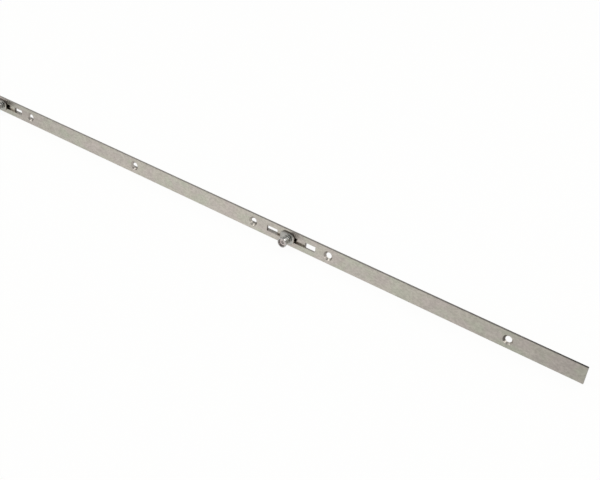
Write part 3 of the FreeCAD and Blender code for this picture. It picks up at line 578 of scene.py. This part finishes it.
@dataclass(frozen=True)
class SideRule:
    """Tells a mesh's sides apart by its faces' normals and by their distance from Z = 0.

    A look is a normal's part along X, a lift its part along Z, and a lean its part along Y in
    either direction.
    """

    flat_lean: float = 0.8
    facing_x_look: float = 0.5
    facing_x_lift: float = 0.25
    break_lean: Span = (0.12, 0.97)
    sink_lean: Span = (0.3, 0.97)
    sink_look: float = 0.35
    sink_lift: float = 0.45
    wall_half_mm: float = 7.0
    rim_half_mm: float = 7.5

    def sort(self, mesh: bpy.types.Mesh) -> None:
        """Gives each face the material index of its side.

        A face that looks along Y is flat. Of the others, those that look towards +X, not
        upwards, are the +X faces, those near the middle line are punched walls and the rest are
        edges. A face that leans is a break at the long edges. Near the middle line it is a screw
        sink's flank if it looks towards +X, not upwards. On the strip and the rods, the +X faces,
        the sink flanks and the breaks take finishes darker than the face: painted shade.

        Args:
            mesh: The mesh.
        """
        normals = np.empty(len(mesh.polygons) * 3, np.float32)
        centres = np.empty(len(mesh.polygons) * 3, np.float32)
        mesh.polygons.foreach_get("normal", normals)
        mesh.polygons.foreach_get("center", centres)
        look, lean, lift = normals.reshape(-1, 3).T
        lean = np.abs(lean)
        from_middle = np.abs(centres.reshape(-1, 3)[:, 2])
        near_middle = from_middle < self.wall_half_mm * MM
        at_rim = from_middle > self.rim_half_mm * MM
        breaks = at_rim & (lean > self.break_lean[0]) & (lean < self.break_lean[1])
        sinks = near_middle & (lean > self.sink_lean[0]) & (lean < self.sink_lean[1])
        index = np.select(
            [
                sinks & (look > self.sink_look) & (lift < self.sink_lift),
                breaks,
                lean > self.flat_lean,
                (look > self.facing_x_look) & (lift < self.facing_x_lift),
                near_middle,
            ],
            [side.value for side in (Side.SINK, Side.BREAK, Side.FLAT, Side.END, Side.WALL)],
            Side.EDGE.value,
        )
        mesh.polygons.foreach_set("material_index", index.astype(np.int32))


SIDE_RULE = SideRule()


@dataclass
class SoftEdged:
    """A CAD node with broken edges, as tumbling and plating leave them.

    It takes one finish for all its faces, or one for each Side.
    """

    node: str
    body: Body
    slot: str
    finishes: tuple[Plating, ...]
    break_mm: float = 0.12
    cast_angle: float = 35.0
    break_segments: int = 2

    def dress(self) -> bpy.types.Object:
        """Makes the finished piece and puts it in the node's place.

        Returns:
            The finished piece.
        """
        mesh = self._clean_mesh()
        piece = add_object(mesh.name, mesh)
        put_on(piece, *self.finishes)
        if len(self.finishes) > 1:
            SIDE_RULE.sort(mesh)
        self._break_edges(piece)
        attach(piece, self.body.value)
        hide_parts(self.node)
        log.info("finished %s on %s", piece.name, self.body.value)
        return piece

    def _clean_mesh(self) -> bpy.types.Mesh:
        """Copies the node's mesh, merges its doubles and joins its flat faces.

        Returns:
            The copy, shaded smoothly.
        """
        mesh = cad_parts[self.node].data.copy()
        mesh.name = self.node + "_finished"
        work = bmesh.new()
        work.from_mesh(mesh)
        bmesh.ops.remove_doubles(work, verts=work.verts, dist=CAD_MERGE_REACH)
        bmesh.ops.dissolve_limit(
            work, angle_limit=math.radians(CAD_FLAT_DEGREES), verts=work.verts, edges=work.edges,
        )
        work.to_mesh(mesh)
        work.free()
        if "custom_normal" in mesh.attributes:
            mesh.attributes.remove(mesh.attributes["custom_normal"])
        mesh.shade_smooth()
        return mesh

    def _break_edges(self, piece: bpy.types.Object) -> None:
        """Cuts each edge sharper than the cast angle by a small width.

        Args:
            piece: The piece.
        """
        bevel = piece.modifiers.new("broken_edges", "BEVEL")
        bevel.width = self.break_mm * MM
        bevel.segments = self.break_segments
        bevel.limit_method = "ANGLE"
        bevel.angle_limit = math.radians(self.cast_angle)
        bevel.harden_normals = True
        bevel.use_clamp_overlap = True


@dataclass
class PlainNode:
    """A CAD node that keeps its mesh and takes a plated finish."""

    node: str
    finish: Plating

    def dress(self) -> bpy.types.Object:
        """Gives the node its finish.

        Returns:
            The node's object.
        """
        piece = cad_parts[self.node]
        put_on(piece, self.finish)
        log.info("dressed %s", self.node)
        return piece


@dataclass
class CoilSpring:
    """A coil spring along Y, a fixed copy of its node's coils."""

    node: str
    front_body: Body
    rear_body: Body
    slot: str
    finish: Plating

    def build(self) -> bpy.types.Object:
        """Puts a copy of the node's coils in the node's place and hides the node.

        Returns:
            The spring's object.
        """
        piece = add_object(self.node + "_coils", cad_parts[self.node].data.copy())
        put_on(piece, self.finish)
        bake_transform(piece)
        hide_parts(self.node)
        return piece


class Coat(Enum):
    """Which of a cam's finishes covers a turned surface, by its material index."""

    PLATED = 0
    # Painted shade on the recess and socket walls.
    SHADED_BORE = 1
    FLOOR = 2
    SHANK = 3
    TREAD = 4


COAT_FINISHES = (CAM_ZINC, SHADED_CAM_BORE_ZINC, CAM_FLOOR_ZINC, ROLLER_ZINC, TREAD_ZINC)


@dataclass(frozen=True)
class Turn:
    """One corner of a turned profile, with the coat of the surface from here to the next."""

    height: float
    radius: float
    soft: float = 0.0
    on_roller_axis: bool = True
    hexagon: float = 0.0
    coat: Coat = Coat.PLATED


@dataclass
class EccentricCam:
    """One eccentric pin with its dished, socketed head and its grooved roller, all turned parts.

    Heights are above the faceplate's front, and sizes across the axis are radii. All lengths
    are in millimetres. A round is the length that a corner's curve takes of each side.
    """

    number: int
    front: float = -35.0
    eccentricity: float = 1.8
    shank: float = 1.7
    tail: float = 2.8
    tail_thickness: float = 1.0
    tail_middle: float = 0.3
    tail_outer_round: float = 0.35
    tail_inner_round: float = 0.15
    neck: float = 3.0
    neck_low: float = 1.62
    collar: float = 4.0
    collar_low: float = 2.52
    collar_high: float = 3.62
    collar_round: float = 0.45
    journal: float = 2.3
    head: float = 4.65
    head_low: float = 9.45
    head_foot: float = 4.05
    rim_low: float = 10.25
    top: float = 11.7
    recess: float = 3.7
    recess_depth: float = 1.5
    recess_fillet: float = 0.4
    recess_lip_round: float = 0.12
    across_flats: float = 2.5
    socket_depth: float = 1.0
    socket_middle: float = 0.1
    socket_break_width: float = 0.2
    socket_break_depth: float = 0.12
    ring: float = 3.8
    ring_inner: float = 3.25
    ring_round: float = 0.3
    low_ring_round: float = 0.5
    bore: float = 2.36
    roller_low: float = 3.82
    lip_high: float = 4.62
    low_ring_high: float = 6.07
    groove_high: float = 6.62
    groove_round: float = 0.25
    roller_high: float = 9.25
    crisp_round: float = 0.05
    small_round: float = 0.1
    wide_round: float = 0.2
    most_of_side: float = 0.45
    columns: int = 144
    corner_steps: int = 5
    sharp_angle: float = 28.0

    def build(self) -> None:
        """Makes the pin and the roller."""
        self.pin()
        self.roller()

    def axis(self) -> float:
        """The roller's axis along X, from the roller node's box."""
        low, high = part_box(f"cam_roller_{self.number}")
        return (low.x + high.x) / 2 / MM

    def _soften(self, turns: list[Turn], closed: bool) -> np.ndarray:
        """Rounds the corners of a profile.

        Each corner C becomes a short curve from a point A before it to a point B behind it, both
        at the corner's soft length: (1 - t)^2 A + 2 t (1 - t) C + t^2 B.

        Args:
            turns: The corners.
            closed: Whether the last corner joins the first.

        Returns:
            Rows of height, radius, share of the roller's axis, share of the hexagon and coat.
        """
        rows = np.array(
            [(t.height, t.radius, float(t.on_roller_axis), t.hexagon, t.coat.value) for t in turns]
        )
        soft = np.array([t.soft for t in turns])
        before = np.roll(rows, 1, axis=0)
        after = np.roll(rows, -1, axis=0)
        if not closed:
            before[0] = rows[0]
            after[-1] = rows[-1]
        back = before[:, :2] - rows[:, :2]
        onward = after[:, :2] - rows[:, :2]
        back_length = np.maximum(np.linalg.norm(back, axis=1), SHORTEST_SIDE)
        onward_length = np.maximum(np.linalg.norm(onward, axis=1), SHORTEST_SIDE)
        reach_back = np.minimum(soft, self.most_of_side * back_length)[:, None]
        reach_onward = np.minimum(soft, self.most_of_side * onward_length)[:, None]
        start = rows[:, :2] + back / back_length[:, None] * reach_back
        end = rows[:, :2] + onward / onward_length[:, None] * reach_onward
        corner = rows[:, None, :2]
        t = np.linspace(0.0, 1.0, self.corner_steps)[None, :, None]
        curve = (1 - t) ** 2 * start[:, None] + 2 * t * (1 - t) * corner + t**2 * end[:, None]
        extra = np.broadcast_to(rows[:, None, 2:], (*curve.shape[:2], 3))
        points = np.concatenate([curve, extra], axis=-1).reshape(-1, 5)
        step = np.abs(np.diff(points[:, :4], axis=0)).sum(axis=1)
        return points[np.concatenate([[True], step > SAME_ROW])]

    def _skin(self, name: str, turns: list[Turn], closed: bool) -> bpy.types.Object:
        """Makes a turned surface about Y.

        Each ring is a circle of its radius about its centre, or a hexagon whose corners lie at
        the radius: corner radius times the cosine of 30 degrees over the cosine of the angle
        from the nearest flat's middle. The hexagon's share goes from 0 to 1.

        Args:
            name: The object's name.
            turns: The profile's corners.
            closed: Whether the profile closes round a bore.

        Returns:
            The surface as an object, with its coats put on.
        """
        rows = self._soften(turns, closed)
        angle = np.linspace(0.0, 2.0 * np.pi, self.columns, endpoint=False)
        from_flat = np.mod(angle, np.pi / 3.0) - np.pi / 6.0
        hexagon = np.cos(np.pi / 6.0) / np.cos(from_flat)
        share = rows[:, 3:4]
        reach = rows[:, 1:2] * (1.0 - share + share * hexagon[None, :])
        centre = self.axis() - self.eccentricity * (1.0 - rows[:, 2:3])
        x = centre + reach * np.cos(angle)
        z = reach * np.sin(angle)
        y = np.broadcast_to(self.front - rows[:, 0:1], x.shape)
        piece = ring_object(name, np.stack([x, y, z], axis=-1) * MM, closed)
        put_on(piece, *COAT_FINISHES)
        coats = rows[:, 4] if closed else rows[:-1, 4]
        index = np.zeros(len(piece.data.polygons), np.int32)
        index[: coats.size * self.columns] = np.repeat(coats, self.columns)
        piece.data.polygons.foreach_set("material_index", index)
        return piece

    def pin(self) -> bpy.types.Object:
        """Makes the pin: tail, shank, neck, collar, journal, head and socket in one turned skin.

        Tail, shank and neck turn about the rod's hole, and all above about the roller's axis.

        Returns:
            The pin's object.
        """
        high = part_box(f"cam_pin_{self.number}")[1]
        foot = self.front - high.y / MM
        tail_top = foot + self.tail_thickness
        corner = self.across_flats / math.sqrt(3.0)
        recess_floor = self.top - self.recess_depth
        socket_top = recess_floor - self.socket_break_depth
        socket_floor = recess_floor - self.socket_depth
        crisp, small, wide = self.crisp_round, self.small_round, self.wide_round
        turns = [
            Turn(foot, self.tail_middle, 0.0, False, coat=Coat.SHANK),
            Turn(foot, self.tail, self.tail_outer_round, False, coat=Coat.SHANK),
            Turn(tail_top, self.tail, self.tail_inner_round, False, coat=Coat.SHANK),
            Turn(tail_top, self.shank, 0.0, False, coat=Coat.SHANK),
            Turn(self.neck_low, self.shank, 0.0, False, coat=Coat.SHANK),
            Turn(self.neck_low, self.neck, small, False, coat=Coat.SHANK),
            Turn(self.collar_low, self.neck, 0.0, False, coat=Coat.SHANK),
            Turn(self.collar_low, self.collar, wide, coat=Coat.SHANK),
            Turn(self.collar_high, self.collar, self.collar_round, coat=Coat.SHANK),
            Turn(self.collar_high, self.journal, crisp, coat=Coat.SHANK),
            Turn(self.head_low, self.journal, crisp),
            Turn(self.head_low, self.head_foot, small),
            Turn(self.rim_low, self.head, wide),
            Turn(self.top, self.head, wide),
            Turn(self.top, self.recess, self.recess_lip_round, coat=Coat.SHADED_BORE),
            Turn(recess_floor, self.recess, wide, coat=Coat.SHADED_BORE),
            Turn(recess_floor, self.recess - self.recess_fillet, coat=Coat.FLOOR),
            Turn(recess_floor, corner + self.socket_break_width, crisp, coat=Coat.SHADED_BORE),
            Turn(socket_top, corner, crisp, True, 1.0, Coat.SHADED_BORE),
            Turn(socket_floor, corner, small, True, 1.0, Coat.FLOOR),
            Turn(socket_floor, self.socket_middle, coat=Coat.FLOOR),
        ]
        piece = self._skin(f"cam_pin_{self.number}_turned", turns, False)
        return self._finish(piece, f"cam_pin_{self.number}", f"cam_{self.number}")

    def roller(self) -> bpy.types.Object:
        """Makes the roller: a lip, two rings and the groove between, in one loop round a bore.

        Returns:
            The roller's object.
        """
        crisp, small = self.crisp_round, self.small_round
        turns = [
            Turn(self.roller_low, self.bore, small, coat=Coat.SHANK),
            Turn(self.roller_low, self.ring_inner, small, coat=Coat.SHANK),
            Turn(self.lip_high, self.ring_inner, crisp, coat=Coat.SHANK),
            Turn(self.lip_high, self.ring, self.ring_round, coat=Coat.SHANK),
            Turn(self.low_ring_high, self.ring, self.low_ring_round, coat=Coat.SHANK),
            Turn(self.low_ring_high, self.ring_inner, crisp, coat=Coat.SHANK),
            Turn(self.groove_high, self.ring_inner, crisp, coat=Coat.SHANK),
            Turn(self.groove_high, self.ring, self.groove_round, coat=Coat.TREAD),
            Turn(self.roller_high, self.ring, self.ring_round, coat=Coat.SHANK),
            Turn(self.roller_high, self.bore, small, coat=Coat.SHANK),
        ]
        piece = self._skin(f"cam_roller_{self.number}_turned", turns, True)
        return self._finish(piece, f"cam_roller_{self.number}", f"roller_{self.number}")

    def _finish(self, piece: bpy.types.Object, node: str, body: str) -> bpy.types.Object:
        """Turns a piece's faces outwards, shades it and mounts it.

        Args:
            piece: The new object.
            node: The CAD node that it stands for.
            body: The body that it rides on.

        Returns:
            The piece.
        """
        face_outwards(piece)
        piece.data.shade_smooth()
        piece.data.set_sharp_from_angle(angle=math.radians(self.sharp_angle))
        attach(piece, body)
        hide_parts(node)
        log.info("turned %s on %s", piece.name, body)
        return piece


@dataclass
class Faceplate:
    """The long front strip with its rod guides and case screws."""

    strip_break_mm: float = 0.14
    screw_break_mm: float = 0.08

    def build(self) -> None:
        """Dresses the strip, the rod guides and the screws."""
        case = Body.CASE
        SoftEdged("faceplate", case, "faceplate_steel", STRIP_SIDES, self.strip_break_mm).dress()
        SoftEdged("rod_guides", case, "rod_steel", (ROD_ZINC,)).dress()
        SoftEdged("case_screws", case, "screw_steel", (FASTENER_ZINC,), self.screw_break_mm).dress()


@dataclass
class Drive:
    """Both rods, the rack slide, and the shoes and washers that hold the cams."""

    shoe_break_mm: float = 0.3
    shoe_cast_angle: float = 50.0
    slide_break_mm: float = 0.08

    def build(self) -> None:
        """Dresses all that slides together behind and before the strip."""
        drive = Body.DRIVE
        SoftEdged("upper_rod", drive, "rod_steel", ROD_SIDES).dress()
        SoftEdged("lower_rod", drive, "rod_steel", ROD_SIDES).dress()
        SoftEdged(
            "guide_shoes", drive, "cam_steel", SHOE_SIDES, self.shoe_break_mm, self.shoe_cast_angle,
        ).dress()
        SoftEdged("rack_slide", drive, "rod_steel", ROD_SIDES, self.slide_break_mm).dress()
        PlainNode("pin_washers", FASTENER_ZINC).dress()


@dataclass
class GearCase:
    """The case with its posts, blocks and bushes, the follower and the deadbolt's brake."""

    sheet_break_mm: float = 0.2
    follower_break_mm: float = 0.1
    bush_break_mm: float = 0.15

    def build(self) -> None:
        """Dresses the case and what is held in it."""
        case = Body.CASE
        SoftEdged("case_tray", case, "case_steel", (CASE_ZINC,), self.sheet_break_mm).dress()
        SoftEdged("case_cover", case, "case_steel", (CASE_ZINC,), self.sheet_break_mm).dress()
        SoftEdged(
            "follower", Body.FOLLOWER, "follower_steel", (SINTERED_STEEL,), self.follower_break_mm,
        ).dress()
        SoftEdged(
            "handle_bushes", case, "rivet_steel", (FASTENER_ZINC,), self.bush_break_mm,
        ).dress()
        for node in (
            "case_posts", "case_rivets", "mounting_blocks", "brake_studs", "deadbolt_post",
        ):
            PlainNode(node, FASTENER_ZINC).dress()
        PlainNode("brake_spring", SPRING_STEEL).dress()


@dataclass
class Bolts:
    """The roller latch with its spring, and the deadbolt."""

    bolt_break_mm: float = 0.15
    roller_break_mm: float = 0.1

    def build(self) -> None:
        """Dresses the latch and the deadbolt."""
        nickel = (BOLT_NICKEL,)
        SoftEdged("latch_body", Body.LATCH, "bolt_steel", nickel, self.bolt_break_mm).dress()
        SoftEdged(
            "latch_roller", Body.LATCH_ROLLER, "bolt_steel", nickel, self.roller_break_mm,
        ).dress()
        SoftEdged("deadbolt", Body.DEADBOLT, "bolt_steel", nickel, self.bolt_break_mm).dress()
        PlainNode("latch_pin", FASTENER_ZINC).dress()
        PlainNode("latch_clip", SPRING_STEEL).dress()
        CoilSpring("latch_spring", Body.LATCH, Body.CASE, "spring_steel", SPRING_STEEL).build()
        PlainNode("latch_guide", CASE_ZINC).dress()


@dataclass(frozen=True)
class Softbox:
    """A rectangular white lamp that looks at one point, with its power in watts."""

    name: str
    place: Point
    aim: Point
    width: float
    height: float
    power: float

    def build(self) -> bpy.types.Object:
        """Makes the lamp.

        Returns:
            The lamp's object.
        """
        data = bpy.data.lights.new(self.name, "AREA")
        data.shape = "RECTANGLE"
        data.size = self.width
        data.size_y = self.height
        data.energy = self.power
        lamp = add_object(self.name, data)
        lamp.location = self.place
        direction = Vector(self.aim) - Vector(self.place)
        lamp.rotation_mode = "QUATERNION"
        lamp.rotation_quaternion = direction.to_track_quat("-Z", "Y")
        return lamp


LOCK_MIDDLE = (0.45, -0.03, 0.0)
LAMPS = (
    Softbox("key_left", (-0.65, -0.7, 1.3), LOCK_MIDDLE, 1.1, 1.1, 10.5),
    Softbox("rear_left", (-0.7, 1.35, 0.85), (0.4, 0.0, 0.0), 1.3, 0.7, 1.0),
    Softbox("fill_right", (1.55, -1.2, 0.65), LOCK_MIDDLE, 0.7, 0.7, 5.0),
    Softbox("rear_right", (1.2, 1.4, 1.25), (0.64, 0.0, 0.0), 0.8, 0.5, 4.6),
    Softbox("overhead", (0.93, 0.55, 1.25), (0.61, 0.0, 0.0), 0.8, 0.8, 3.8),
)


@dataclass
class Studio:
    """Floor, world, lamps and camera."""

    floor_z: float = -0.00805
    floor_reach: float = 8.0
    floor_lines: int = 5
    floor_colour: Colour = (0.97, 0.97, 0.965)
    floor_white: Colour = (1.0, 1.0, 0.995)
    floor_white_share: float = 0.955
    room_colour: Colour = (0.97, 0.985, 1.0)
    room_strength: float = 0.42
    lamps: tuple[Softbox, ...] = LAMPS
    camera_place: Point = (0.981236, -0.623666, 0.41989)
    camera_right: Point = (0.811094, 0.57457, 0.109528)
    camera_up: Point = (-0.376904, 0.370205, 0.849053)
    focal_mm: float = 54.0
    sensor_mm: float = 36.0
    clip_near: float = 0.01
    clip_far: float = 50.0

    def build(self) -> None:
        """Sets the stage, hangs the lamps and points the camera."""
        self._floor()
        self._world()
        for lamp in self.lamps:
            lamp.build()
        self._camera()

    def _floor(self) -> bpy.types.Object:
        """Makes the pale floor, a flat grid, whose white shows to the camera and in the metal.

        Returns:
            The floor's object.
        """
        steps = np.linspace(-self.floor_reach, self.floor_reach, self.floor_lines)
        x, y = np.meshgrid(steps, steps, indexing="ij")
        points = np.stack([x, y, np.full_like(x, self.floor_z)], axis=-1)
        index = np.arange(x.size).reshape(x.shape)
        quads = np.stack([index[:-1, :-1], index[1:, :-1], index[1:, 1:], index[:-1, 1:]], axis=-1)
        mesh = bpy.data.meshes.new("floor")
        mesh.from_pydata(points.reshape(-1, 3).tolist(), [], quads.reshape(-1, 4).tolist())
        floor = add_object("floor", mesh)
        material = bpy.data.materials.new("pale_floor")
        tree = empty_tree(material)
        output = tree.nodes.new("ShaderNodeOutputMaterial")
        matte = tree.nodes.new("ShaderNodeBsdfDiffuse")
        matte.inputs["Color"].default_value = (*self.floor_colour, 1.0)
        white = tree.nodes.new("ShaderNodeEmission")
        white.inputs["Color"].default_value = (*self.floor_white, 1.0)
        white.inputs["Strength"].default_value = 1.0
        share = self._seen(tree, self.floor_white_share)
        mixed = self._mix(tree, share, matte.outputs["BSDF"], white.outputs["Emission"])
        tree.links.new(mixed, output.inputs["Surface"])
        floor.data.materials.append(material)
        return floor

    @staticmethod
    def _mix(
        tree: bpy.types.NodeTree,
        share: bpy.types.NodeSocket,
        first: bpy.types.NodeSocket,
        second: bpy.types.NodeSocket,
    ) -> bpy.types.NodeSocket:
        """Mixes two shaders.

        Args:
            tree: The nodes to add to.
            share: How much of the second shows.
            first: The first shader.
            second: The second shader.

        Returns:
            The mixed shader.
        """
        mix = tree.nodes.new("ShaderNodeMixShader")
        tree.links.new(share, mix.inputs["Fac"])
        tree.links.new(first, mix.inputs[1])
        tree.links.new(second, mix.inputs[2])
        return mix.outputs["Shader"]

    @staticmethod
    def _seen(tree: bpy.types.NodeTree, share: float) -> bpy.types.NodeSocket:
        """How far a backdrop shows as white: a share for camera, glossy and transmission rays.

        Args:
            tree: The nodes to add to.
            share: The result for those rays.

        Returns:
            The share for those rays and 0 for the others.
        """
        path = tree.nodes.new("ShaderNodeLightPath")
        total = path.outputs["Is Camera Ray"]
        for name in ("Is Glossy Ray", "Is Transmission Ray"):
            most = tree.nodes.new("ShaderNodeMath")
            most.operation = "MAXIMUM"
            tree.links.new(total, most.inputs[0])
            tree.links.new(path.outputs[name], most.inputs[1])
            total = most.outputs[0]
        scale = tree.nodes.new("ShaderNodeMath")
        scale.operation = "MULTIPLY"
        scale.inputs[1].default_value = share
        tree.links.new(total, scale.inputs[0])
        return scale.outputs[0]

    def _world(self) -> None:
        """Makes the room: plain grey light, white where the camera looks past the floor."""
        world = bpy.data.worlds.new("studio")
        bpy.context.scene.world = world
        tree = empty_tree(world)
        output = tree.nodes.new("ShaderNodeOutputWorld")
        room = tree.nodes.new("ShaderNodeBackground")
        room.inputs["Color"].default_value = (*self.room_colour, 1.0)
        room.inputs["Strength"].default_value = self.room_strength
        white = tree.nodes.new("ShaderNodeBackground")
        white.inputs["Color"].default_value = (1.0, 1.0, 1.0, 1.0)
        white.inputs["Strength"].default_value = 1.0
        direct = tree.nodes.new("ShaderNodeLightPath").outputs["Is Camera Ray"]
        mixed = self._mix(tree, direct, room.outputs["Background"], white.outputs["Background"])
        tree.links.new(mixed, output.inputs["Surface"])

    def _camera(self) -> bpy.types.Object:
        """Places the camera, from its own axes in the lock's frame.

        Returns:
            The camera's object.
        """
        data = bpy.data.cameras.new("camera")
        data.sensor_fit = "HORIZONTAL"
        data.sensor_width = self.sensor_mm
        data.lens = self.focal_mm
        data.clip_start = self.clip_near
        data.clip_end = self.clip_far
        camera = add_object("camera", data)
        right = Vector(self.camera_right).normalized()
        up = Vector(self.camera_up).normalized()
        back = right.cross(up).normalized()
        up = back.cross(right).normalized()
        turn = Matrix((right, up, back)).transposed().to_4x4()
        camera.matrix_world = Matrix.Translation(self.camera_place) @ turn
        bpy.context.scene.camera = camera
        return camera


def main() -> None:
    """Dresses every sub-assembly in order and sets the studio."""
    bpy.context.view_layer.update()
    Faceplate().build()
    Drive().build()
    for number in CAM_NUMBERS:
        EccentricCam(number).build()
    GearCase().build()
    Bolts().build()
    Studio().build()
    bpy.context.scene.view_settings.view_transform = "Standard"


if __name__ == "__main__":
    main()
